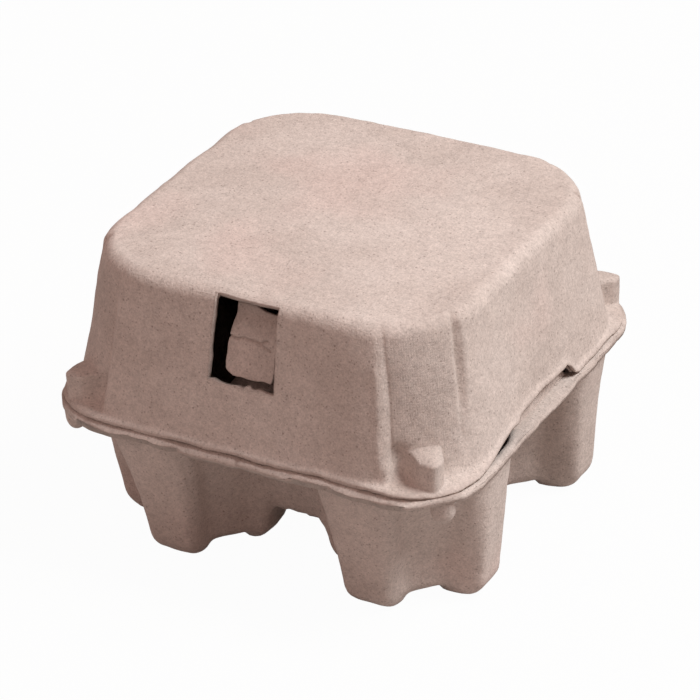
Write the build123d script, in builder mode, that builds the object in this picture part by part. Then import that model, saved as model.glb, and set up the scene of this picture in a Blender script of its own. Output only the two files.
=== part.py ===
"""Moulded pulp egg carton for four eggs: a cupped base and a hinged lid, in millimetres.

The frame has +Z up, the latch at the front (-Y), the hinge crease at the back (+Y), and its
origin on the table under the middle of the carton.
"""

import os
from math import atan, cos, pi, radians, sin, sqrt, tan

from build123d import *

# Overall sizes
RIM_SIDE = 102.0  # lid flange, across the flats
HEIGHT = 72.0  # table to the top of the lid
PARTING = 36.7  # height of the plane where lid and base meet
WALL = 1.6  # pulp thickness of walls and floors
LIP = 1.5  # pulp thickness of both rim flanges
RIM_CORNER = 16.0  # plan radius of the flange corners
BASE_INSET = 0.4  # base flange stands this far inside the lid flange

# Lid walls
LID_TAPER = 5.6  # how far each panel leans in between the parting plane and the top plane
FLANGE_WIDTH = 1.6  # lid flange outside the panels
TOP_CORNER = 21.0  # plan radius of the lid corners at the top
LOW_CORNER = 22.5  # plan radius of the lid corners at the flange
TOP_ROUND = 4.0  # rounding between the walls and the top
FRONT_EDGE_TOP = 15.5  # lid corner to the edge of the front and back panels, at the top
FRONT_EDGE_LOW = 15.4  # the same at the flange
SIDE_EDGE_TOP = 14.5  # lid corner to the edge of the left and right panels, at the top
SIDE_EDGE_LOW = 14.5  # the same at the flange
PANEL_STEP = 1.2  # how far the panels stand out from the corners
STEP_RUN = 1.1  # width of the slanted face at each panel edge
TOP_FADE = 0.2  # what is left of the panel step on the top plane
TOP_BANDS = 3  # flat bands that make up the rounding

# Lid corner lugs
LUG_WIDTH = 8.0
LUG_SETBACK = 0.6  # outer face of a lug, in from the flange corner
LUG_FRONT = 8.0  # height of the outer face above the parting plane
LUG_BACK = 11.0  # height where the sloped top meets the corner
LUG_ROOT = 9.0  # depth of a lug, along the diagonal
LUG_ROUND = 1.6

# Latch window and side notches
WINDOW_WIDTH = 15.4
WINDOW_DROP = 18.5  # sill below the top of the lid
NOTCH_LENGTH = 27.0  # flat top of a side notch
NOTCH_RISE = 5.0  # height of a side notch above the parting plane
NOTCH_SLOPE = 4.0  # run of each sloped end
NOTCH_SHIFT = 6.0  # middle of a notch, towards the front

# Base cups
RIM_LEDGE = 2.0  # lid flange outside the cup mouths
CUP_LAP = 0.4  # how far each cup mouth reaches past the middle of the tray
ROW_SETBACK = 1.2  # cups and post behind the middle of the tray, to make room for the latch
FOOT_LOBE = 17.8  # cup centre to the end of a lobe, on the table
FOOT_WIDTH = 12.4  # width of a lobe, on the table
MOUTH_WIDTH = 24.0  # width of a lobe, at the rim
LOBE_BEVEL = 3.0  # bevel down both sides of each lobe
FOOT_FLAT = 12.5  # cup centre to the slanting flats between lobes, on the table
MOUTH_BULGE = 1.9  # slanting flats beyond the sides of a cup, at the rim
CORE_STEP = 0.8  # lobes beyond the core that carries them
FOOT_HEIGHT = 2.6  # how far the lobes reach below the cup floor
FOOT_DEPTH = 3.6  # length of a foot along its lobe

# Saddles between neighbouring cups
SADDLE_HEIGHT = 10.0  # underside above the table
SADDLE_LOW = 9.0  # width of the underside
SADDLE_TOP = 24.4  # width at the rim

# Centre post
POST_HEIGHT = 8.0  # top of the post above the parting plane
POST_ROOT = 7.4  # half its width under the rim
POST_TIP = 4.6  # half its width at the top
POST_ROUND = 3.6  # rounding of its upright edges

# Rim bumps under the base corners
BUMP_RADIUS = 3.0
BUMP_DROP = 5.0  # length below the flange
BUMP_SETBACK = 1.2  # outer side of a bump, in from the flange corner

# Latch flap and button
FLAP_ROOT = 28.0  # width at the rim
FLAP_TIP = 22.0  # width at the top
FLAP_GAP = 0.6  # flap behind the button's path, at the rim
FLAP_TOP = 1.0  # top of the flap below the lid's ceiling
BUTTON_WIDTH = 11.9
BUTTON_PATH = 0.35  # button to the path that the lid's front wall swings along
BUTTON_EDGE = 0.3  # foot of the button above the window sill
BUTTON_PROUD = 1.5  # button's face in front of the flap, at the top
FOLD_SHARE = 0.58  # place of the crease across the button, from its foot to its top
BUTTON_DENT = 0.6  # how far that crease is pressed in
BUTTON_ROUND = 1.0

# Side tabs of the base, which stand behind the lid's notches
TAB_GAP = 0.5  # tab to the lid's side wall
TAB_COVER = 2.0  # how far a tab reaches above the notch
TAB_SPARE = 1.0  # how far a tab reaches past each end of the notch

# Values worked out from the sizes above
rim_half = RIM_SIDE / 2
low_half = rim_half - FLANGE_WIDTH
top_half = low_half - LID_TAPER
lid_height = HEIGHT - PARTING
wall_lean = atan(LID_TAPER / lid_height)
window_sill = HEIGHT - WINDOW_DROP
cell = (rim_half - RIM_LEDGE - CUP_LAP) / 2
cell_pitch = 2 * cell
mouth_side = cell + CUP_LAP
mouth_flat = mouth_side + MOUTH_BULGE
rim_diagonal = rim_half * sqrt(2) - RIM_CORNER * (sqrt(2) - 1)


def between(low, top, share):
    """Value at a share of the way from low to top."""
    return low + (top - low) * share


def lid_outline(level, inset, pull):
    """Closed outline of the lid at a level: four panels, and a stepped-back arc at each corner.

    inset moves the whole outline in by a wall, and pull draws it in over the rounded top edge.
    """
    share = (level - PARTING) / lid_height
    shrink = inset + pull
    half = between(low_half, top_half, share) - shrink
    corner = between(LOW_CORNER, TOP_CORNER, share) - shrink
    turn = shrink * tan(pi / 8)
    front = between(low_half - FRONT_EDGE_LOW, top_half - FRONT_EDGE_TOP, share) - turn
    side = between(low_half - SIDE_EDGE_LOW, top_half - SIDE_EDGE_TOP, share) - turn
    step = between(PANEL_STEP, TOP_FADE, pull / TOP_ROUND)
    middle = half - corner * (1 - sqrt(0.5))
    quarter = [
        (front, half),
        (front + STEP_RUN, half - step),
        (middle, middle),
        (half - step, side + STEP_RUN),
        (half, side),
    ]
    corners = []
    for x_sign, y_sign in [(1, -1), (1, 1), (-1, 1), (-1, -1)]:
        points = [(x * x_sign, y * y_sign) for x, y in quarter]
        corners.append(points if x_sign * y_sign < 0 else points[::-1])
    with BuildSketch(Plane.XY.offset(level)) as outline:
        with BuildLine():
            for number, (start, bend, mid, rise, end) in enumerate(corners):
                Line(start, bend)
                ThreePointArc(bend, mid, rise)
                Line(rise, end)
                Line(end, corners[(number + 1) % 4][0])
        make_face()
    return outline.sketch


def lid_form(inset):
    """Solid form of the lid walls and top, drawn in by a wall for the hollow."""
    top = HEIGHT - inset
    sections = [lid_outline(PARTING, inset, 0)]
    for band in range(TOP_BANDS + 1):
        turn = radians(90 * band / TOP_BANDS)
        level = top - TOP_ROUND * (1 - sin(turn))
        sections.append(lid_outline(level, inset, TOP_ROUND * (1 - cos(turn))))
    with BuildPart() as form:
        loft(sections, ruled=True)
    return form.part


def corner_lug(inset):
    """One lug on the front right flange corner, a block with a sloped top."""
    outer = rim_diagonal - LUG_SETBACK - inset
    root = rim_diagonal - LUG_SETBACK - LUG_ROOT
    across = Plane(origin=(0, 0, PARTING), x_dir=(1, -1, 0), z_dir=(-1, -1, 0))
    with BuildPart() as lug:
        with BuildSketch(across):
            with BuildLine():
                Polyline(
                    (root, 0),
                    (outer, 0),
                    (outer, LUG_FRONT - inset),
                    (root, LUG_BACK - inset),
                    close=True,
                )
            make_face()
        extrude(amount=LUG_WIDTH / 2 - inset, both=True)
        if inset == 0:
            upright = lug.edges().filter_by(Axis.Z).group_by(SortBy.DISTANCE)[-1]
            fillet(upright, LUG_ROUND)
    return lug.part


def notch_form(grow):
    """Outline of the side notches, run right across the lid, and grown by a lip."""
    flat = NOTCH_LENGTH / 2
    with BuildPart() as notch:
        with BuildSketch(Plane.YZ):
            with BuildLine():
                Polyline(
                    (-NOTCH_SHIFT - flat - NOTCH_SLOPE - grow, PARTING),
                    (-NOTCH_SHIFT - flat - grow / 2, PARTING + NOTCH_RISE + grow),
                    (-NOTCH_SHIFT + flat + grow / 2, PARTING + NOTCH_RISE + grow),
                    (-NOTCH_SHIFT + flat + NOTCH_SLOPE + grow, PARTING),
                    close=True,
                )
            make_face()
        extrude(amount=rim_half, both=True)
    return notch.part


lid_hollow = lid_form(WALL)

# Lid: walls, flange, lips over the notches and lugs, then hollowed, with window and notches cut
with BuildPart() as lid:
    with BuildSketch(Plane.XY.offset(PARTING)):
        RectangleRounded(RIM_SIDE, RIM_SIDE, RIM_CORNER)
    extrude(amount=LIP)
    add(notch_form(LIP))
    add(lid_form(0))
    for quarter_turn in range(4):
        add(corner_lug(0).rotate(Axis.Z, 90 * quarter_turn))
    add(lid_hollow, mode=Mode.SUBTRACT)
    for quarter_turn in range(4):
        add(corner_lug(WALL).rotate(Axis.Z, 90 * quarter_turn), mode=Mode.SUBTRACT)
    add(notch_form(0), mode=Mode.SUBTRACT)
    ceiling = HEIGHT - WALL
    with BuildSketch(Plane.XZ.offset(top_half - TOP_ROUND)):
        with Locations((0, (window_sill + ceiling) / 2)):
            Rectangle(WINDOW_WIDTH, ceiling - window_sill)
    extrude(amount=rim_half, mode=Mode.SUBTRACT)
lid.part.label = "lid"


def tapered_block(floor, low, ceiling, top):
    """Four-sided block between two levels, given half its sizes along X and Y at each level."""
    with BuildPart() as block:
        for axis, plane, mode in [(0, Plane.XZ, Mode.ADD), (1, Plane.YZ, Mode.INTERSECT)]:
            with BuildSketch(plane):
                with BuildLine():
                    Polyline(
                        (-low[axis], floor),
                        (low[axis], floor),
                        (top[axis], ceiling),
                        (-top[axis], ceiling),
                        close=True,
                    )
                make_face()
            extrude(amount=rim_half, both=True, mode=mode)
    return block.part


def cup_form(inset, floor):
    """Cup from its floor to the rim: an eight-sided core, crossed by two ribs that end in lobes."""
    share = floor / PARTING
    low_lobe = between(FOOT_LOBE, mouth_side, share) - inset
    top_lobe = mouth_side - inset
    low_width = between(FOOT_WIDTH, MOUTH_WIDTH, share) / 2 - inset
    top_width = MOUTH_WIDTH / 2 - inset
    low_flat = between(FOOT_FLAT, mouth_flat, share) - inset
    top_flat = mouth_flat - inset
    low_core = low_lobe - CORE_STEP
    top_core = top_lobe - CORE_STEP
    with BuildPart() as rib:
        add(tapered_block(floor, (low_lobe, low_width), PARTING, (top_lobe, top_width)))
        if inset == 0:
            levels = rib.edges().filter_by(Plane.XY)
            chamfer(rib.edges() - levels, LOBE_BEVEL)
    with BuildPart() as cup:
        add(tapered_block(floor, (low_core, low_core), PARTING, (top_core, top_core)))
        cornerwise = tapered_block(floor, (low_flat, low_flat), PARTING, (top_flat, top_flat))
        add(cornerwise.rotate(Axis.Z, 45), mode=Mode.INTERSECT)
        add(rib.part)
        add(rib.part.rotate(Axis.Z, 90))
    return cup.part


def saddle_form(inset):
    """Trough along X that joins the mouths of two neighbouring cups."""
    reach = cell - FOOT_LOBE + inset
    with BuildPart() as trough:
        with BuildSketch(Plane.YZ):
            with BuildLine():
                Polyline(
                    (-SADDLE_LOW / 2 + inset / 2, SADDLE_HEIGHT + inset),
                    (SADDLE_LOW / 2 - inset / 2, SADDLE_HEIGHT + inset),
                    (SADDLE_TOP / 2 - inset, PARTING),
                    (-SADDLE_TOP / 2 + inset, PARTING),
                    close=True,
                )
            make_face()
        extrude(amount=reach, both=True)
    return trough.part


def saddles(inset):
    """The four troughs, one between each pair of neighbouring cups."""
    with BuildPart() as ring:
        for quarter_turn in range(4):
            add(saddle_form(inset).translate((0, -cell, 0)).rotate(Axis.Z, 90 * quarter_turn))
    return ring.part


def post_form(inset):
    """Centre post, a short tapered block above the rim."""
    with BuildPart() as post:
        tip = PARTING + POST_HEIGHT - inset
        root_half = POST_ROOT - inset
        tip_half = POST_TIP - inset
        add(tapered_block(PARTING - LIP, (root_half, root_half), tip, (tip_half, tip_half)))
        if inset == 0:
            levels = post.edges().filter_by(Plane.XY)
            fillet(post.edges() - levels, POST_ROUND)
    return post.part


# Latch flap: a leaning plate behind the lid's front wall, and clear of that wall's swing
path_radius = (low_half - WALL + rim_half) * cos(wall_lean) - BUTTON_PATH
flap_height = lid_height - WALL - FLAP_TOP


def path_face(rise):
    """Place along Y of the button's path, at a height above the parting plane."""
    return rim_half - sqrt(path_radius**2 - rise**2)


flap_root = path_face(0) + FLAP_GAP
flap_tip = path_face(flap_height) + BUTTON_PROUD
flap_lean = atan((flap_tip - flap_root) / flap_height)
flap_plane = Plane(
    origin=(0, flap_root, PARTING),
    x_dir=(1, 0, 0),
    z_dir=(0, -cos(flap_lean), sin(flap_lean)),
)


def button_form(inset):
    """Button on the flap: two slanted faces that stay inside the lid's swing about its hinge."""
    foot = window_sill + BUTTON_EDGE - PARTING
    fold = between(foot, flap_height, FOLD_SHARE)
    back = flap_root + WALL
    with BuildPart() as button:
        with BuildSketch(Plane.YZ):
            with BuildLine():
                Polyline(
                    (back + foot * tan(flap_lean), PARTING + foot + inset),
                    (path_face(foot) + inset, PARTING + foot + inset),
                    (path_face(fold) + inset + BUTTON_DENT, PARTING + fold),
                    (path_face(flap_height) + inset, PARTING + flap_height - inset),
                    (back + flap_height * tan(flap_lean), PARTING + flap_height - inset),
                    close=True,
                )
            make_face()
        extrude(amount=BUTTON_WIDTH / 2 - inset, both=True)
        if inset == 0:
            front = button.faces().sort_by(Axis.Y)[0]
            fillet(front.edges().sort_by(Axis.Z)[:-1], BUTTON_ROUND)
    return button.part


def side_tab():
    """Tab on the right rim: a leaning plate that closes the notch from behind."""
    face = Plane(
        origin=(low_half - WALL - TAB_GAP, -NOTCH_SHIFT, PARTING),
        x_dir=(0, 1, 0),
        z_dir=(cos(wall_lean), 0, sin(wall_lean)),
    )
    top = NOTCH_LENGTH / 2 + TAB_SPARE
    foot = top + NOTCH_SLOPE
    rise = (NOTCH_RISE + TAB_COVER) / cos(wall_lean)
    with BuildPart() as tab:
        with BuildSketch(face):
            with BuildLine():
                Polyline((-foot, -LIP), (foot, -LIP), (top, rise), (-top, rise), close=True)
            make_face()
        extrude(amount=-WALL)
    return tab.part


# Base: rim plate, cups, saddles and post, then the hollows of each
with BuildPart() as base:
    base_side = RIM_SIDE - 2 * BASE_INSET
    with BuildSketch(Plane.XY.offset(PARTING - LIP)):
        RectangleRounded(base_side, base_side, RIM_CORNER - BASE_INSET)
    extrude(amount=LIP)
    with PolarLocations(rim_diagonal - BUMP_SETBACK - BUMP_RADIUS, 4, start_angle=45):
        with Locations((0, 0, PARTING - LIP - BUMP_DROP)):
            Cylinder(BUMP_RADIUS, BUMP_DROP, align=(Align.CENTER, Align.CENTER, Align.MIN))
    with Locations((0, ROW_SETBACK)):
        with GridLocations(cell_pitch, cell_pitch, 2, 2):
            add(cup_form(0, 0))
        add(saddles(0))
        with GridLocations(cell_pitch, cell_pitch, 2, 2):
            add(cup_form(WALL, FOOT_HEIGHT + WALL), mode=Mode.SUBTRACT)
        with GridLocations(cell_pitch, cell_pitch, 2, 2):
            Box(
                2 * (FOOT_LOBE - FOOT_DEPTH),
                2 * (FOOT_LOBE - FOOT_DEPTH),
                FOOT_HEIGHT,
                align=(Align.CENTER, Align.CENTER, Align.MIN),
                mode=Mode.SUBTRACT,
            )
        add(saddles(WALL), mode=Mode.SUBTRACT)
        add(post_form(0))
        add(post_form(WALL), mode=Mode.SUBTRACT)
    with BuildSketch(flap_plane):
        with BuildLine():
            Polyline(
                (-FLAP_ROOT / 2, -LIP),
                (FLAP_ROOT / 2, -LIP),
                (FLAP_TIP / 2, flap_height / cos(flap_lean)),
                (-FLAP_TIP / 2, flap_height / cos(flap_lean)),
                close=True,
            )
        make_face()
    extrude(amount=-WALL)
    add(button_form(0))
    add(button_form(WALL), mode=Mode.SUBTRACT)
    add(side_tab())
    add(side_tab().mirror(Plane.YZ))
base.part.label = "base"

os.makedirs("parts", exist_ok=True)
export_step(base.part, "parts/base.step")
export_step(lid.part, "parts/lid.step")
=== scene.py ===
import bmesh
import bpy
import numpy as np
from mathutils import Matrix, Vector


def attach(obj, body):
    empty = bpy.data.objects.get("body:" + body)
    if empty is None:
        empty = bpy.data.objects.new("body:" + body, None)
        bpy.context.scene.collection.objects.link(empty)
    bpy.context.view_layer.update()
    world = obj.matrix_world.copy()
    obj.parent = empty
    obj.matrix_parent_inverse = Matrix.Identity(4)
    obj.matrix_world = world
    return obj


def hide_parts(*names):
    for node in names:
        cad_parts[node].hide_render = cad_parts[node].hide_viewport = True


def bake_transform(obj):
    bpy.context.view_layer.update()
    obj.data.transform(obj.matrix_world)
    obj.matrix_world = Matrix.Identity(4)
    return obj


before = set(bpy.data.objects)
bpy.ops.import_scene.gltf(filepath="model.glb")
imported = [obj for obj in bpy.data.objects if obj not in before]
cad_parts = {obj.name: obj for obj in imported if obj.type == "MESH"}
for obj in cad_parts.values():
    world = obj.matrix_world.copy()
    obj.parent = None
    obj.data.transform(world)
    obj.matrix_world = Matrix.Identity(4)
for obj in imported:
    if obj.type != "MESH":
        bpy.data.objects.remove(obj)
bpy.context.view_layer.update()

# Tray. The lower half of the carton is one sheet of moulded paper pulp, sucked onto a wire mesh mould:
# four cups on crossed ribs that end in lobed feet, low saddles between them, a hollow post and a thin rim.
# Sizes here are millimetres, and meshes are turned into metres when they are made.
PARTING = 36.7  # height of the plane where the two halves meet
RIM = 35.2  # underside of the rim
CELL = 24.3  # axis of a cup from the middle plane
SETBACK = 1.2  # cups behind the middle of the tray
TRAY_HALF = 50.4
TRAY_CORNER = 15.2
TRAY_WALL = 1.45
FLOOR = 1.7  # floor of a cup above the tips of its lobes
LOBE_OUT = (21.2, 19.4)  # axis of a cup to its outer lobes, along X and Y
LOBE_IN = (16.8, 17.0)  # the same to the lobes that face the middle
RIB_HALF = (6.2, 6.7)  # half width of the ribs along X and along Y
CORE_HALF = 16.0
CORE_FLAT = 14.0  # axis of a cup to the slanting flats of its core
MOUTH_HALF = 24.9
MOUTH_FLAT = 23.2
SADDLE_LOW = 10.0
SADDLE_HALF = 4.5
SADDLE_SLOPE = 3.47
POST_RISE = 8.0


def smooth(low, high, value):
    """Share from 0 to 1 that rises in an S between low and high."""
    share = np.clip((value - low) / (high - low), 0, 1)
    return share * share * (3 - 2 * share)


def soft_lower(a, b, radius):
    """The lower of two surfaces, with the corner between them rounded over a radius."""
    share = np.clip(0.5 + 0.5 * (b - a) / radius, 0, 1)
    return b + (a - b) * share - radius * share * (1 - share)


def pulp_waves(points, length, seed):
    """Unevenness of pulp: the sum of sine waves of about one length in random directions, about -1 to 1."""
    rng = np.random.default_rng(seed)
    ways = rng.normal(size=(3, 28))
    ways *= 2 * np.pi / length * rng.uniform(0.6, 1.7, 28) / np.linalg.norm(ways, axis=0)
    return np.sin(points @ ways + rng.uniform(0, 2 * np.pi, 28)).sum(-1) * 0.19


def rounded_box(x, y, x_half, y_half, power):
    """Radius of a soft-cornered box at each turn: high powers of its two half sides, added and inverted."""
    return ((x / x_half) ** power + (y / y_half) ** power) ** (-1 / power)


def cup_foot(turn):
    """Radius of a cup just above its foot: two crossed ribs and an eight-sided core, whichever is widest.

    The lobes that face the middle of the tray stand a little nearer to the cup's axis.
    """
    x, y = np.abs(np.cos(turn)), np.abs(np.sin(turn))
    rib_x = rounded_box(x, y, np.where(np.cos(turn) > 0, LOBE_OUT[0], LOBE_IN[0]), RIB_HALF[0], 6.5)
    rib_y = rounded_box(x, y, RIB_HALF[1], np.where(np.sin(turn) > 0, LOBE_OUT[1], LOBE_IN[1]), 6.5)
    flats = rounded_box(x + y, np.abs(x - y), CORE_FLAT * np.sqrt(2), 99.0, 9.0)
    core = (rounded_box(x, y, CORE_HALF, CORE_HALF, 9.0) ** -9 + flats**-9) ** (-1 / 9)
    return (rib_x**14 + rib_y**14 + core**14) ** (1 / 14)


def cup_mouth(turn):
    """Radius of a cup at the rim: high powers of the ways to its eight sides, added and inverted.

    The slanting side at the corner of the tray stands further out than the others.
    """
    x, y = np.abs(np.cos(turn)), np.abs(np.sin(turn))
    flats = MOUTH_FLAT + 2.5 * smooth(0.0, 0.4, np.cos(turn)) * smooth(0.0, 0.4, np.sin(turn))
    sides = (x / MOUTH_HALF) ** 15 + (y / MOUTH_HALF) ** 15
    return (sides + ((x + y) / (flats * np.sqrt(2))) ** 15) ** (-1 / 15)


def tray_edge(turn, reach):
    """Way from a cup's axis to the edge of its quarter: the two middle planes and the round-cornered rim."""
    x, y = np.cos(turn), np.sin(turn)
    far = np.minimum(
        np.where(x > 0, TRAY_HALF - CELL, CELL) / np.maximum(np.abs(x), 1e-9),
        np.where(y > 0, reach, CELL) / np.maximum(np.abs(y), 1e-9),
    )
    centre_x, centre_y = TRAY_HALF - TRAY_CORNER - CELL, reach - TRAY_CORNER
    along = centre_x * x + centre_y * y
    round_corner = along + np.sqrt(np.maximum(along**2 - centre_x**2 - centre_y**2 + TRAY_CORNER**2, 0))
    at_corner = (x * far > centre_x) & (y * far > centre_y)
    return np.where(at_corner, np.minimum(far, round_corner), far)


def quarter_turns(reach):
    """Turns of the columns round a cup: closer at the rim corner, and one on each corner of the quarter."""
    even = np.linspace(0, 2 * np.pi, 4000)
    weight = 1 + 2.2 * np.exp(-(((even - np.pi / 4) / 0.16) ** 2))
    place = np.cumsum(weight)
    turns = np.interp(np.linspace(place[0], place[-1], 201)[:-1], place, even)
    outer = TRAY_HALF - CELL
    for corner in [(-CELL, -CELL), (-CELL, reach), (outer, -CELL)]:
        exact = np.arctan2(corner[1], corner[0]) % (2 * np.pi)
        turns[np.argmin(np.abs(turns - exact))] = exact
    return turns


def tray_quarter(middle):
    """Underside of one cup and its part of the rim, as a height over the plan in polar columns.

    A column goes out over the foot, rounded at its edge, and up a wall to the mouth. The wall is straight on
    the lobes and hollow on the facets between them, where its height follows a power of the way out. The
    saddles, and the rim with its post and drooping lip, take over where they are lower, and each meeting is
    rounded. middle is the distance of the cup's axis from the middle of the tray along Y.
    """
    reach = TRAY_HALF - middle
    turn = quarter_turns(reach)[:, None]
    foot = cup_foot(turn)
    mouth = cup_mouth(turn)
    edge = tray_edge(turn, reach)
    wall_top = np.minimum(foot + (mouth - foot) * 0.95 + 0.3, edge - 1.4)
    lobed = smooth(14.6, 17.2, foot)
    foot_round = 3.8 + 2.2 * lobed
    flat = foot - foot_round
    steps = [
        flat * np.array([0.05, 0.3, 0.52, 0.62, 0.7, 0.77, 0.84, 0.92])[None],
        flat + foot_round * np.sin(np.radians(np.linspace(0, 84, 9)))[None],
        foot + (wall_top - foot) * np.linspace(0.02, 1.0, 25)[None],
        wall_top + (edge - wall_top) * np.linspace(0.12, 1.0, 10)[None],
    ]
    radius = np.concatenate(steps, axis=1)
    out_x = radius * np.cos(turn)
    out_y = radius * np.sin(turn)
    x, y = CELL + out_x, middle + out_y
    floor = FLOOR * (1 - lobed * smooth(0.55, 0.72, radius / foot))
    over = np.clip(radius - flat, 0, foot_round)
    bend = foot_round - np.sqrt(foot_round**2 - over**2)
    start = foot_round + FLOOR * (1 - lobed)
    climb = np.clip((radius - foot) / (mouth - foot), 0, None) ** (1 - 0.46 * (1 - lobed))
    wall = start + (PARTING - start) * climb
    height = np.where(radius < foot, floor + bend, wall)
    for along, across in [(CELL + out_x, out_y), (CELL + out_y, out_x)]:
        saddle = SADDLE_LOW + SADDLE_SLOPE * np.maximum(np.abs(across) - SADDLE_HALF, 0)
        height = soft_lower(height, saddle + 40 * smooth(10, 14, along), 5.0)
    post = POST_RISE * smooth(7.8, 4.4, np.hypot(CELL + out_x, CELL + out_y))
    to_x, to_y = x - (TRAY_HALF - TRAY_CORNER), y - (TRAY_HALF - TRAY_CORNER)
    from_round = np.hypot(np.maximum(to_x, 0), np.maximum(to_y, 0))
    from_edge = from_round + np.minimum(np.maximum(to_x, to_y), 0) - TRAY_CORNER
    corner_share = smooth(4.0, 10.0, np.minimum(to_x, to_y))
    droop = 0.95 - 0.55 * smooth(-4.0, 4.0, to_x - to_y)
    droop = droop * (1 - 0.9 * corner_share) * smooth(-1.3, -0.2, from_edge)
    height = soft_lower(height, RIM - 0.1 + post - droop, 2.4)
    return np.stack([x, y, height], axis=-1)


def grid_faces(columns, rows, closed):
    """Corners of the quads of a grid that holds its points by column; closed joins the last to the first."""
    column = np.arange(columns if closed else columns - 1)[:, None]
    row = np.arange(rows - 1)[None]
    after = (column + 1) % columns
    quads = [column * rows + row, after * rows + row, after * rows + row + 1, column * rows + row + 1]
    return np.stack(quads, axis=-1).reshape(-1, 4)


def pulp_sheet(name, points, faces, thickness, marks=None):
    """Mesh object from points in millimetres, welded, smooth, and thickened on the side away from its faces."""
    mesh = bpy.data.meshes.new(name)
    mesh.from_pydata((points * 0.001).tolist(), [], [face for part in faces for face in part.tolist()])
    for mark, values in (marks or {}).items():
        mesh.attributes.new(mark, "FLOAT", "POINT").data.foreach_set("value", values.astype(np.float32))
    shape = bmesh.new()
    shape.from_mesh(mesh)
    bmesh.ops.remove_doubles(shape, verts=shape.verts, dist=0.00002)
    shape.to_mesh(mesh)
    shape.free()
    mesh.polygons.foreach_set("use_smooth", np.ones(len(mesh.polygons), bool))
    piece = bpy.data.objects.new(name, mesh)
    bpy.context.scene.collection.objects.link(piece)
    if thickness:
        wall = piece.modifiers.new("thickness", "SOLIDIFY")
        wall.thickness = thickness * 0.001
        wall.offset = -1
    return piece


def rough(points, seed, coarse=0.13, fine=0.045):
    """Points moved by slow and quick waves along each axis, as damp pulp sets unevenly."""
    moved = points.copy()
    for axis in range(3):
        moved[:, axis] += coarse * pulp_waves(points, 22.0, seed + axis)
        moved[:, axis] += fine * pulp_waves(points, 5.0, seed + 3 + axis)
    return moved


def lip_waves(points, seed):
    """How far a lip waves up and down: slow waves and quick ones, added."""
    return 0.14 * pulp_waves(points, 9.0, seed) + 0.08 * pulp_waves(points, 2.0, seed + 1)


tray_points, tray_faces = [], []
for x_side, y_side in [(1, 1), (-1, 1), (-1, -1), (1, -1)]:
    middle = CELL + SETBACK * y_side
    quarter = tray_quarter(middle)
    columns, rows = quarter.shape[:2]
    ring = np.arange(columns) * rows
    middle_faces = np.stack([np.full(columns, columns * rows), np.roll(ring, -1), ring], axis=1)
    cup = np.concatenate([quarter.reshape(-1, 3), [[CELL, middle, FLOOR]]]) * [x_side, y_side, 1]
    start = len(cup) * len(tray_points)
    for faces in (grid_faces(columns, rows, True), middle_faces):
        tray_faces.append(start + (faces if x_side * y_side > 0 else faces[:, ::-1]))
    tray_points.append(cup)
tray_plan = np.concatenate(tray_points)
tray_points = rough(tray_plan, 11)
lean = 1 - tray_plan[:, 2:] / PARTING
tray_points += lean * [1.4, 0.7, 0.0]
tray_lip = smooth(-1.2, 0.0, np.abs(tray_plan[:, :2]).max(axis=1) - TRAY_HALF)
tray_lip = tray_lip * smooth(32.5, 33.8, tray_plan[:, 2])
tray_points[:, 2] += tray_lip * lip_waves(tray_plan, 61)
tray_points[:, 2] = np.maximum(tray_points[:, 2], 0.0)
KNOB_X, KNOB_Y = 44.8, 42.5  # axis of a corner knob, round which the pulp is rough
# The mark covers the tray's lip, where the pulp lies in a lip, and a ring round each knob, where darker colour
# is painted in as the shade the knob casts on the wall.
from_knob = np.hypot(np.abs(tray_plan[:, 0]) - KNOB_X, np.abs(tray_plan[:, 1]) - KNOB_Y)
tray_fray_and_painted_shade = np.maximum(tray_lip, 1.6 * smooth(4.6, 2.6, from_knob))
tray = pulp_sheet("tray", tray_points, tray_faces, TRAY_WALL, {"fray_and_painted_shade": tray_fray_and_painted_shade})


class Finish:
    """A socket of a material's nodes. Arithmetic on it adds Math nodes, and node() adds any other kind."""

    def __init__(self, tree, socket=None):
        self.tree = tree
        self.socket = socket

    def node(self, kind, settings=None, values=None, out=0):
        made = self.tree.nodes.new("ShaderNode" + kind)
        for name, setting in (settings or {}).items():
            setattr(made, name, setting)
        for name, value in (values or {}).items():
            if isinstance(value, Finish):
                self.tree.links.new(value.socket, made.inputs[name])
            else:
                made.inputs[name].default_value = value
        return Finish(self.tree, made.outputs[out])

    def math(self, operation, *values):
        return self.node("Math", {"operation": operation}, dict(enumerate(values)))

    def mix(self, share, low, high, kind="MIX"):
        settings = {"data_type": "RGBA", "blend_type": kind}
        return self.node("Mix", settings, {"Factor": share, 6: low, 7: high}, 2)

    def most(self, other):
        return self.math("MAXIMUM", self, other)

    def between(self, low, high):
        values = {"Value": self, "From Min": low, "From Max": high}
        return self.node("MapRange", {"interpolation_type": "SMOOTHSTEP"}, values)

    def __add__(self, other):
        return self.math("ADD", self, other)

    def __sub__(self, other):
        return self.math("SUBTRACT", self, other)

    def __rsub__(self, other):
        return self.math("SUBTRACT", other, self)

    def __mul__(self, other):
        return self.math("MULTIPLY", self, other)

    __radd__ = __add__
    __rmul__ = __mul__


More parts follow.
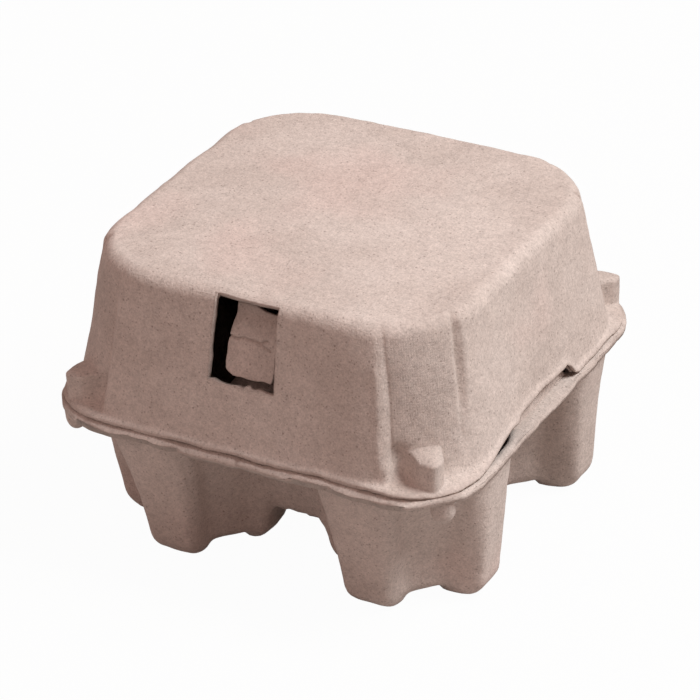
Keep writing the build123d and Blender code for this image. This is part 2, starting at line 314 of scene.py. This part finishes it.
def pulp_finish():
    """Grey-pink pulp: slow blotches, fine mottle, scattered dark specks and short fibres, with a felted bump.

    Two marks on the mesh steer it: mesh is where the mould's wire cloth printed through, and the fray mark is
    where the pulp is torn or lies in a lip, and also where shade is painted in as darker colour: round the
    corner knobs, and in the latch button's crack and over its upper half.
    """
    material = bpy.data.materials.new("pulp")
    material.use_nodes = True
    tree = material.node_tree
    shader = tree.nodes["Principled BSDF"]
    start = Finish(tree)
    place = start.node("TexCoord", out=3)
    mesh_mark = start.node("Attribute", {"attribute_name": "mesh"}, out=2)
    fray_and_painted_shade = start.node("Attribute", {"attribute_name": "fray_and_painted_shade"}, out=2)

    def turned(turn, stretch=(1, 1, 1)):
        return start.node("Mapping", None, {"Vector": place, "Rotation": turn, "Scale": stretch})

    def noise(scale, detail, at=place):
        return start.node("TexNoise", None, {"Vector": at, "Scale": scale, "Detail": detail, "Roughness": 0.6})

    def specks(scale, turn, size, few):
        """Round specks, one to a cell of the scatter, of uneven size, and none in most cells."""
        cells = {"Vector": turned(turn), "Scale": scale, "Randomness": 1.0}
        near = start.node("TexVoronoi", {"feature": "F1"}, cells)
        cell_colour = start.node("TexVoronoi", {"feature": "F1"}, cells, 1)
        chance = start.node("SeparateColor", None, {"Color": cell_colour})
        return (size * chance.between(few, 1.0) - near).between(0.0, 0.06)

    def fibres_along(turn, stretch):
        """Thin streaks: noise drawn out along one way."""
        return noise(1.0, 0.0, turned(turn, stretch)).between(0.68, 0.8)

    def wires(way, scale, distortion, at):
        """Print of the parallel wires of the mould's cloth, across one way."""
        values = {"Vector": at, "Scale": scale, "Distortion": distortion, "Detail": 2.0, "Detail Scale": 60.0}
        return start.node("TexWave", {"bands_direction": way}, values, 1)

    blotch = noise(34.0, 3.0).between(0.34, 0.66)
    pink = noise(26.0, 2.0, turned((0.4, 1.1, 2.0))).between(0.54, 0.72)
    mottle = noise(900.0, 4.0).between(0.28, 0.72)
    grain = noise(2300.0, 2.0, turned((0.9, 0.4, 0.2))).between(0.32, 0.68)
    cloud = noise(240.0, 3.0, turned((0.3, 0.2, 0.9))).between(0.3, 0.7)
    dark = specks(800.0, (1.0, 0.3, 0.8), 0.24, 0.5)
    fine_dark = specks(1500.0, (0.2, 0.9, 0.1), 0.34, 0.4)
    fibres = fibres_along((0.5, 0.4, 0.6), (190.0, 2100.0, 2100.0))
    fibres = fibres.most(fibres_along((0.2, 0.7, 1.3), (2100.0, 200.0, 2100.0)))
    fibres = fibres.most(fibres_along((0.6, 0.1, 0.3), (2100.0, 2100.0, 210.0)))
    colour = start.mix(blotch, (0.47, 0.378, 0.334, 1), (0.525, 0.43, 0.384, 1))
    colour = start.mix(pink * 0.35, colour, (0.56, 0.4, 0.355, 1))
    shade = mottle * 0.18 + grain * 0.2 + cloud * 0.08 + 0.78
    grey = start.node("CombineColor", None, {"Red": shade, "Green": shade, "Blue": shade})
    colour = start.mix(1.0, colour, grey, "MULTIPLY")
    colour = start.mix(fibres * 0.14, colour, (0.66, 0.55, 0.49, 1))
    colour = start.mix((dark * 0.42).most(fine_dark * 0.34), colour, (0.12, 0.085, 0.07, 1))
    # Darker where the fray mark is: torn pulp and lips, and painted shade round the corner knobs and on the
    # latch button.
    colour = start.mix(fray_and_painted_shade * 0.3, colour, (0.33, 0.24, 0.2, 1))
    cornerwise = turned((0, 0, 0.785))
    cross_wires = wires("X", 620.0, 3.0, cornerwise) * wires("Y", 620.0, 3.0, cornerwise)
    print_through = (cross_wires + wires("Z", 560.0, 4.0, place) * 0.5) * mesh_mark
    felt = noise(1700.0, 4.0) * 0.9 + noise(420.0, 3.0) * 1.1 + fibres * 0.2 + print_through * 0.4
    felt = felt + noise(620.0, 5.0) * fray_and_painted_shade * 4.0 - dark * 0.1
    bump = start.node("Bump", None, {"Strength": 0.4, "Distance": 0.0004, "Height": felt})
    tree.links.new(colour.socket, shader.inputs["Base Color"])
    tree.links.new(bump.socket, shader.inputs["Normal"])
    shader.inputs["Roughness"].default_value = 0.93
    shader.inputs["Specular IOR Level"].default_value = 0.2
    return material


pulp = pulp_finish()
tray.data.materials.append(pulp)
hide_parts("base")
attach(tray, "base")

# Corner knobs. A small solid knob of pulp hangs under each corner of the rim, moulded with the tray, and
# keeps a stack of open trays from jamming.
KNOB_RADIUS = 2.55
KNOB_DOME = (32.0, 3.3)  # level where the domed foot begins, and its depth


def corner_knob(x_side, y_side):
    """Upright stub with a domed foot: the turn runs round it, and the other parameter from its top to its foot.

    Its radius shrinks down to the dome, which is a quarter of an ellipse, and is nothing at both ends,
    where the columns meet and are welded.
    """
    turn = np.linspace(0, 2 * np.pi, 40, endpoint=False)[:, None]
    dome = np.radians(np.append(np.linspace(0, 88, 12), 90))
    radius = np.concatenate([[0.0, 1.4, 2.9, 2.75, 2.65], KNOB_RADIUS * np.cos(dome)])[None]
    z = np.concatenate([[35.4, 35.4, 35.2, 34.4, 33.2], KNOB_DOME[0] - KNOB_DOME[1] * np.sin(dome)])[None]
    x = KNOB_X + radius * np.cos(turn)
    y = KNOB_Y + radius * np.sin(turn)
    points = np.stack(np.broadcast_arrays(x_side * x, y_side * y, z), axis=-1)
    faces = grid_faces(*points.shape[:2], True)
    return points.reshape(-1, 3), faces[:, ::-1] if x_side * y_side > 0 else faces


for corner_name, x_side, y_side in [("fr", 1, -1), ("fl", -1, -1), ("br", 1, 1), ("bl", -1, 1)]:
    knob_points, knob_faces = corner_knob(x_side, y_side)
    knob = pulp_sheet("corner_knob_" + corner_name, rough(knob_points, 11), [knob_faces], 0)
    knob.data.materials.append(pulp)
    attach(knob, "base")

# Latch flap. A tongue of the same pulp stands up from the front of the rim, and its hollow button
# looks out through the lid's window to keep the lid shut.
FLAP_WALL = 1.2


def swing_face(rise):
    """Place along Y of the lid's swing path at a height above the parting: a circle about the crease."""
    return 51.0 - np.sqrt(97.2**2 - rise**2)


def spaced(*spans):
    """Places in several evenly divided spans, each given by its start, its end and its count."""
    return np.concatenate([np.linspace(*span) for span in spans])


def latch_flap():
    """Leaning tongue over width and height, with the button as a rise towards the lid's swing path.

    The tongue narrows to the button's width above the sill. The button is a soft box, cut away at its lower
    left and narrower at the top, and its face is cracked across a little above the middle.
    """
    across = spaced((-1, -0.8, 6), (-0.77, -0.4, 18), (-0.36, 0.4, 20), (0.44, 0.8, 18), (0.83, 1, 6))[:, None]
    rise = spaced((-0.6, 13.5, 9), (14.0, 19.0, 26), (19.4, 31.0, 46))[None]
    x = 0.75 * smooth(6, 14, rise) + across * (14.0 - 6.6 * smooth(3, 12, rise))
    plate = -45.63 + rise * 0.2009 + 8.0 * smooth(6.0, 13.5, rise)
    face = swing_face(np.clip(rise, 15.8, 32.6)) + 0.12
    left = -6.0 + 3.0 * smooth(18.8, 15.4, rise) ** 2 + 0.6 * smooth(22.0, 30.0, rise)
    right = 6.35 - 0.5 * smooth(18.0, 15.5, rise)
    side = smooth(left - 0.45, left + 0.65, x) * smooth(right + 0.35, right - 0.25, x)
    foot = smooth(15.3, 16.4, rise - 0.02 * x + 0.12 * np.sin(x * 1.1))
    swell = side * foot
    line = 24.6 + 0.06 * x - 0.5 * np.exp(-(((x - 1.4) / 1.5) ** 2)) + 0.12 * np.sin(x * 2.3)
    crack = np.exp(-(((rise - line) / 0.26) ** 2)) * smooth(5.2, 3.2, x)
    branch = np.exp(-(((rise - 24.2 + 0.3 * (x - 1.2)) / 0.24) ** 2))
    branch = branch * smooth(1.2, 2.0, x) * smooth(5.6, 4.2, x)
    dent = 0.7 * np.maximum(crack, 0.8 * branch) + 0.11 * np.clip(rise - 17.0, 0, 7.5)
    dent = dent + 1.5 * smooth(line, line + 5.5, rise)
    y = plate + (face + dent - plate) * swell
    level = PARTING + rise - 1.3 * smooth(27.5, 31.0, rise) * smooth(-1.5, 2.5, x)
    points = np.stack(np.broadcast_arrays(x, y, level), axis=-1)
    # This mark roughens the crack and the button's upper half above it, and paints shade there: darker colour
    # for the shade in the crack and under the window's head.
    torn = np.clip(np.maximum(crack, branch) * 1.3 + 0.7 * smooth(line, line + 4.0, rise), 0, 1) * swell
    return points, torn


flap_points, flap_fray_and_painted_shade = latch_flap()
flap = pulp_sheet(
    "latch_flap",
    rough(flap_points.reshape(-1, 3), 31, 0.06, 0.08),
    [grid_faces(*flap_points.shape[:2], False)],
    FLAP_WALL,
    {"fray_and_painted_shade": flap_fray_and_painted_shade.reshape(-1)},
)
flap.data.materials.append(pulp)
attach(flap, "base")

# Side tabs. Two low tongues of pulp, moulded with the tray, stand up from the flat of its rim behind
# the notches in the lid's sides, and steer the lid as it shuts.
TAB_WALL = 1.4


def side_tab(side):
    """Plate on one side of the rim: its length runs along Y and shrinks as it rises, and it leans in."""
    along = np.linspace(-1, 1, 60)[:, None]
    rise = np.linspace(-0.8, 7.0, 14)[None]
    y = -1.0 + along * (12.9 - 2.6 * np.clip(rise, 0, 5) / 5.0)
    x = 47.4 - 0.35 * np.clip(rise, 0, None)
    points = np.stack(np.broadcast_arrays(side * x, y, PARTING + rise), axis=-1)
    faces = grid_faces(*points.shape[:2], False)
    return points.reshape(-1, 3), faces if side > 0 else faces[:, ::-1]


for side_name, side in [("right", 1), ("left", -1)]:
    tab_points, tab_faces = side_tab(side)
    tab = pulp_sheet("side_tab_" + side_name, rough(tab_points, 41, 0.05, 0.06), [tab_faces], TAB_WALL)
    tab.data.materials.append(pulp)
    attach(tab, "base")

# Lid. The upper half is one more sheet of pulp: a tapered cover with four flat panels, corners that
# step back from them, a lug on each corner of its lip, a latch window and a notch in each side.
TOP = 72.0
LID_ROUND = 2.8
SHOULDER = TOP - LID_ROUND
LID_WALL = 1.5
LIP_LOW = 36.95
LIP_FLAT = 34.6  # half the straight part of the lip
LIP_CORNER = 15.35
SILL = 52.0
WINDOW_HALF = 7.6
PANEL = 34.0  # reach of the panel that the columns are spaced for
PANEL_FIXED = 9.0  # columns this near to its middle keep their place
TOP_ROWS = 26


def panel_places():
    """Columns across one panel, from one edge to the other: close together at its creases and at the window."""
    edge = [0.95, 0.8, 0.65, 0.5, 0.35, 0.2, 0.0, -0.3, -0.65, -1.05, -1.5, -2.1, -3.0, -4.2]
    inner = np.linspace(9.2, PANEL - 5.6, 12)[::-1]
    near = [8.3, 7.95, WINDOW_HALF, 7.3, 6.5]
    middle = np.linspace(-5.2, 5.2, 9)
    half = np.concatenate([PANEL + np.array(edge), inner, near])
    return np.concatenate([-half, middle, half[::-1]])


def corner_places():
    """Columns round one corner, as shares of its arc: close together where the sides of the lug can stand."""
    even = np.linspace(0, 1, 2000)
    weight = 1 + 1.2 * (np.exp(-(((even - 0.27) / 0.08) ** 2)) + np.exp(-(((even - 0.73) / 0.08) ** 2)))
    place = np.cumsum(weight)
    return np.interp(np.linspace(place[0], place[-1], 47), place, even)


def lid_levels():
    """Rows of lip and wall: how much of each lip row follows the rim, and heights above the lip's edge."""
    blend = np.array([1.0, 1.012, 0.985, 0.86, 0.6, 0.33, 0.14, 0.045])
    lip = np.array([0.0, 0.3, 0.62, 0.9, 1.1, 1.28, 1.6, 2.2])
    at_sill = SILL - LIP_LOW + np.array([-0.35, 0.0, 0.35])
    low = spaced((3.4, 6.0, 5), (6.3, 11.0, 18), (11.6, 14.3, 5))
    wall = np.concatenate([low, at_sill, np.linspace(16.2, SHOULDER - LIP_LOW, 19)])
    return blend, lip, wall


def arc_drop(along, flat, corner):
    """How far a panel has curved back at a place along it: nothing on its flat, then a circle of the corner."""
    over = np.clip(np.abs(along) - flat, 0, 0.999 * corner)
    return corner - np.sqrt(corner**2 - over**2)


def lid_side(places, reach, half, corner, step, ridge, groove):
    """Plan of one panel and its edges at each level: along, and out from the middle plane.

    The panel follows a round-cornered square. Past its reach it steps back in an S, with a low ridge just
    inside the step and a groove just outside it.
    """
    share = np.clip((np.abs(places) - PANEL_FIXED) / (PANEL - PANEL_FIXED), 0, None)
    along = places + np.sign(places) * (reach - PANEL) * share
    past = np.abs(places) - PANEL
    out = half - arc_drop(along, half - corner, corner) - step * smooth(-0.1, 1.0, past)
    ridge_form = np.exp(-(((past + 0.9) / np.where(past < -0.9, 1.5, 0.7)) ** 2))
    groove_form = np.exp(-(((past - 0.1) / 0.8) ** 2))
    return along, out + ridge * ridge_form - groove * groove_form


def lug_push(x, y, level, number):
    """How far a corner moves out along its diagonal: a soft box for the lug, less a shallow pocket beside it.

    The box has two faces square to the panels and a nearly level top, and is mirrored from one corner to
    the next. The lug at the back right stands out more than the others.
    """
    deep = (x + y) / np.sqrt(2)
    aside = (x - y) / np.sqrt(2) * (1 if number % 2 == 0 else -1)
    stout = 1.4 if number == 1 else 0.4
    face = soft_lower(63.2 - aside, 65.0 + aside, 2.4) + stout
    top = soft_lower(face, face - 6.5 * (level - 44.3 - 0.05 * aside), 4.0)
    lug = smooth(-4.9, -3.6, aside) * smooth(2.6, 1.5, aside) * smooth(40, 50, deep)
    pocket = 1.5 * np.exp(-(((aside + 6.2) / 1.5) ** 2))
    pocket = pocket * smooth(37.6, 39.4, level) * smooth(47.5, 43.5, level)
    push = np.clip(-soft_lower(deep - top, np.zeros_like(deep), 0.6) * lug, 0, None)
    return np.where(deep > 54, push - pocket, 0)


def lid_points():
    """The lid's outer face as columns round it and rows up it, in the order lip, wall, top edge and top.

    A panel column keeps its place along the panel and takes the panel's distance out at each height. A
    corner column carries on round the corner's circle, drawn in by the step at the panel edges. The lip
    blends from that plan to the round-cornered rim, and the lugs push the corners out.
    """
    blend, lip, wall = lid_levels()
    places = panel_places()[:, None]
    shares = corner_places()[:, None]
    turn = np.radians(np.linspace(0, 90, 11))[1:]
    scale = spaced((0.985, 0.9, 5), (0.86, 0.04, TOP_ROWS - 5))
    level = np.concatenate([LIP_LOW + lip, LIP_LOW + wall, SHOULDER + LID_ROUND * np.sin(turn)])[None]
    pull = np.concatenate([np.zeros(len(lip) + len(wall)), LID_ROUND * (1 - np.cos(turn))])[None]
    to_rim = np.concatenate([blend, np.zeros(len(wall) + len(turn))])[None]
    share = (level - PARTING) / (TOP - PARTING)
    half = 49.4 - 5.66 * share - pull
    corner = 22.6 - 1.6 * share - pull
    fade = 1 - smooth(0, LID_ROUND, pull)
    front = {
        "reach": 34.6 - 4.4 * share - 0.5 * pull,
        "step": (0.3 + 0.9 * smooth(70, 58, level)) * fade,
        "ridge": 0.4 * smooth(68, 60, level) * smooth(39.0, 42, level) * fade,
        "groove": 0.25 * smooth(40, 44, level) * fade,
    }
    flank = {
        "reach": 35.4 - 4.6 * share - 0.5 * pull,
        "step": 0.35 * smooth(40, 50, level) * fade,
        "ridge": 0.25 * smooth(46, 58, level) * fade,
        "groove": 1.0 * smooth(46, 58, level) * fade,
    }
    arc = shares * np.pi / 2
    quarters = []
    for number in range(4):
        here, after = (front, flank) if number % 2 == 0 else (flank, front)
        along, out = lid_side(places, half=half, corner=corner, **here)
        begin = np.arcsin((here["reach"] + 1.05 - half + corner) / corner)
        end = np.pi / 2 - np.arcsin((after["reach"] + 1.05 - half + corner) / corner)
        bend = begin + (end - begin) * shares
        step = here["step"] * (1 - shares) + after["step"] * shares
        corner_x = half - corner + corner * np.sin(bend) - step * np.sin(arc)
        corner_y = half - corner + corner * np.cos(bend) - step * np.cos(arc)
        rim_along, rim_out = places * LIP_FLAT / 35.1, LIP_FLAT + LIP_CORNER
        rim_x = LIP_FLAT + LIP_CORNER * np.sin(arc)
        rim_y = LIP_FLAT + LIP_CORNER * np.cos(arc)
        x = np.concatenate([along + (rim_along - along) * to_rim, corner_x + (rim_x - corner_x) * to_rim])
        y = np.concatenate([out + (rim_out - out) * to_rim, corner_y + (rim_y - corner_y) * to_rim])
        push = lug_push(x, y, level, number) / np.sqrt(2)
        x, y = x + push, y + push
        turned = [(x, -y), (y, x), (-x, y), (-y, -x)][number]
        quarters.append(np.stack([turned[0], turned[1], level + 0 * x], axis=-1))
    outer = np.concatenate(quarters)
    ring = outer[:, -1:, :]
    top = ring * [1, 1, 0] * scale[None, :, None] + ring * [0, 0, 1]
    return np.concatenate([outer, top], axis=1)


def with_notches(points):
    """The lid with its sides raised over the two notches: the lip keeps its form, and the wall above gives way.

    A notch is flat with steep ends, and in front of it the lip gapes and comes down slowly.
    """
    x, y, z = np.moveaxis(points, -1, 0)
    open_share = np.clip((y + 18.6) / 4.2, 0, 1) * np.clip((12.6 - y) / 2.8, 0, 1)
    gape = 2.7 * smooth(-35.0, -18.0, y) * smooth(13.5, 10.0, y)
    rise = np.maximum(4.0 * open_share, gape) * smooth(44.0, 46.0, np.abs(x))
    rise = rise * np.clip((53.0 - z) / (53.0 - 39.4), 0, 1)
    return np.stack([x - np.sign(x) * 0.159 * rise, y, z + rise], axis=-1)


cover = with_notches(lid_points())
lid_columns, lid_rows = cover.shape[:2]
panel_count, corner_count = len(panel_places()), len(corner_places())
lip_rows, wall_rows = [len(part) for part in lid_levels()[1:]]
wall_end = lip_rows + wall_rows
column_number, row_number = np.meshgrid(np.arange(lid_columns), np.arange(lid_rows), indexing="ij")
in_corner = column_number % (panel_count + corner_count) - panel_count
corner_print = smooth(-6, 2, in_corner) * smooth(corner_count + 2, corner_count - 6, in_corner)
corner_print = corner_print * smooth(8, 14, row_number) * smooth(wall_end + 6, wall_end - 6, row_number)
left, right = [int(np.argmin(np.abs(panel_places() - side * WINDOW_HALF))) for side in (-1, 1)]
sill = lip_rows + int(np.argmin(np.abs(lid_levels()[2] - (SILL - LIP_LOW))))
head = wall_end + 4
in_window = (column_number >= left) & (column_number <= right) & (row_number >= sill) & (row_number <= head)
inside = (column_number > left) & (column_number < right) & (row_number > sill) & (row_number < head)
window_edge = in_window & ~inside
lid_fray = np.maximum(smooth(4.0, 1.0, row_number), window_edge.astype(float))
flat_points = cover.reshape(-1, 3)
uneven = rough(flat_points, 11)
ring_share = np.clip((row_number - (lid_rows - TOP_ROWS)) / TOP_ROWS, 0, 1).reshape(-1)
uneven[:, 2] += 0.35 * smooth(0, 1, ring_share)
lip_share = smooth(5.0, 2.0, row_number).reshape(-1)
uneven[:, 2] += lip_share * lip_waves(flat_points, 73)
up_window = np.clip((flat_points[:, 2] - SILL) / 18.7, 0, 1)
at_left = np.exp(-(((flat_points[:, 0] + WINDOW_HALF) / 4.0) ** 2)) * (flat_points[:, 1] < -38)
uneven[:, 0] += (1.25 * up_window - 0.7) * at_left
sill_edge = (window_edge & (row_number == sill)).reshape(-1)
torn = window_edge.reshape(-1)
uneven[torn, 0] += 0.06 * pulp_waves(flat_points[torn], 2.6, 71)
sill_share = smooth(WINDOW_HALF, WINDOW_HALF - 1.6, np.abs(flat_points[sill_edge, 0]))
uneven[sill_edge, 2] += 0.35 * sill_share * pulp_waves(flat_points[sill_edge], 2.0, 72)
lid_faces = grid_faces(lid_columns, lid_rows, True)
quad_column, quad_row = np.divmod(np.arange(len(lid_faces)), lid_rows - 1)
cut = (quad_column >= left) & (quad_column < right) & (quad_row >= sill) & (quad_row < head)
last = np.arange(lid_columns) * lid_rows + lid_rows - 1
crown = np.stack([last, np.roll(last, -1), np.full(lid_columns, lid_columns * lid_rows)], axis=1)
crown_point = uneven[last].mean(axis=0, keepdims=True)
cover_piece = pulp_sheet(
    "cover",
    np.concatenate([uneven, crown_point]),
    [lid_faces[~cut], crown],
    LID_WALL,
    {"mesh": np.append(corner_print.reshape(-1), 0), "fray_and_painted_shade": np.append(lid_fray.reshape(-1), 0)},
)
cover_piece.data.materials.append(pulp)
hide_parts("lid")
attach(cover_piece, "lid")

# Crease. Behind, the lips of tray and lid are one sheet of pulp, folded over when the carton is first
# shut. The fold has thinned it, and here it is a thin fixed half tube between the two lips.
CREASE_WALL = 0.5


def crease_web():
    """Half a tube along the back: one way across the carton, and a turn from the tray's lip to the lid's."""
    across = np.linspace(-33.0, 33.0, 90)[:, None]
    turn = np.radians(np.linspace(-90, 90, 15))[None]
    y = 50.2 + 0.9 * np.cos(turn)
    z = 36.75 + 1.35 * np.sin(turn)
    return np.stack(np.broadcast_arrays(-across, y, z), axis=-1)


crease_points = crease_web()
crease_faces = grid_faces(*crease_points.shape[:2], False)
crease = pulp_sheet("crease", rough(crease_points.reshape(-1, 3), 11), [crease_faces], CREASE_WALL)
crease.data.materials.append(pulp)
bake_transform(crease)

# Studio. A pale paper floor and a white surround, a broad soft lamp from the right and above, a weak one
# from the front left, and a camera at the height and side from which the carton was seen. Sizes here are
# metres.
WHITE = 0.97  # share of plain white in the floor, and level of the surround, as the camera sees them


def plain_floor():
    """Flat square floor, as a grid over X and Y."""
    side = np.linspace(-1.5, 1.5, 9)
    x, y = np.meshgrid(side, side, indexing="ij")
    points = np.stack([x, y, 0 * x], axis=-1).reshape(-1, 3)
    mesh = bpy.data.meshes.new("floor")
    mesh.from_pydata(points.tolist(), [], grid_faces(9, 9, False).tolist())
    floor = bpy.data.objects.new("floor", mesh)
    bpy.context.scene.collection.objects.link(floor)
    return floor


def shown_white(tree, lit, white, share, output):
    """Mix of a lit surface and plain white, which only rays from the camera, a gloss or a glass can see."""
    rays = tree.nodes.new("ShaderNodeLightPath")
    seen = Finish(tree, rays.outputs["Is Camera Ray"])
    for kind in ("Is Glossy Ray", "Is Transmission Ray"):
        seen = seen.most(Finish(tree, rays.outputs[kind]))
    mixed = tree.nodes.new("ShaderNodeMixShader")
    tree.links.new((seen * share).socket, mixed.inputs["Fac"])
    tree.links.new(lit.outputs[0], mixed.inputs[1])
    tree.links.new(white.outputs[0], mixed.inputs[2])
    tree.links.new(mixed.outputs["Shader"], tree.nodes[output].inputs["Surface"])


floor = plain_floor()
paper = bpy.data.materials.new("floor_paper")
paper.use_nodes = True
paper_tree = paper.node_tree
paper_shader = paper_tree.nodes["Principled BSDF"]
paper_shader.inputs["Base Color"].default_value = (0.44, 0.41, 0.39, 1)
paper_shader.inputs["Roughness"].default_value = 0.95
shown_white(paper_tree, paper_shader, paper_tree.nodes.new("ShaderNodeEmission"), WHITE, "Material Output")
floor.data.materials.append(paper)

world = bpy.data.worlds.new("surround")
bpy.context.scene.world = world
world.use_nodes = True
sky_tree = world.node_tree
sky = sky_tree.nodes["Background"]
sky.inputs["Color"].default_value = (1.0, 0.76, 0.71, 1)
sky.inputs["Strength"].default_value = 0.38
backdrop = sky_tree.nodes.new("ShaderNodeBackground")
backdrop.inputs["Color"].default_value = (WHITE, WHITE, WHITE, 1)
shown_white(sky_tree, sky, backdrop, 1.0, "World Output")


def soft_lamp(name, place, aim_height, size, power, colour):
    """Round lamp that faces a point above the middle of the floor."""
    light = bpy.data.lights.new(name, "AREA")
    light.shape = "DISK"
    light.size = size
    light.energy = power
    light.color = colour
    lamp = bpy.data.objects.new(name, light)
    lamp.location = place
    lamp.rotation_euler = (Vector((0, 0, aim_height)) - Vector(place)).to_track_quat("-Z", "Y").to_euler()
    bpy.context.scene.collection.objects.link(lamp)


soft_lamp("key", np.array([0.53, 0.16, 0.8]) * 1.35, 0.04, 0.55, 19.8, (0.94, 1.0, 1.02))
soft_lamp("fill", np.array([-0.42, -0.78, 0.7]) * 1.3, 0.03, 0.9, 2.4, (1.0, 0.74, 0.68))

EYE_DISTANCE = 0.7301
SENSOR = 36.0
PICTURE = 700
FOCAL_PIXELS = 3355.6
side_turn, height_turn, roll = np.radians([28.5, 29.65, -1.44])
target = np.array([6.95, -11.79, 45.0]) * 0.001
back = np.array(
    [np.sin(side_turn) * np.cos(height_turn), -np.cos(side_turn) * np.cos(height_turn), np.sin(height_turn)]
)
across = np.array([np.cos(side_turn), np.sin(side_turn), 0.0])
upward = np.cross(back, across)
across, upward = (
    np.cos(roll) * across + np.sin(roll) * upward,
    np.cos(roll) * upward - np.sin(roll) * across,
)
eye = target + back * EYE_DISTANCE
lens = bpy.data.cameras.new("camera")
lens.sensor_width = SENSOR
lens.lens = FOCAL_PIXELS / PICTURE * SENSOR
lens.clip_start = 0.01
camera = bpy.data.objects.new("camera", lens)
camera.matrix_world = Matrix(
    [[across[i], upward[i], back[i], eye[i]] for i in range(3)] + [[0, 0, 0, 1]]
)
bpy.context.scene.collection.objects.link(camera)
bpy.context.scene.camera = camera
bpy.context.scene.view_settings.view_transform = "Standard"
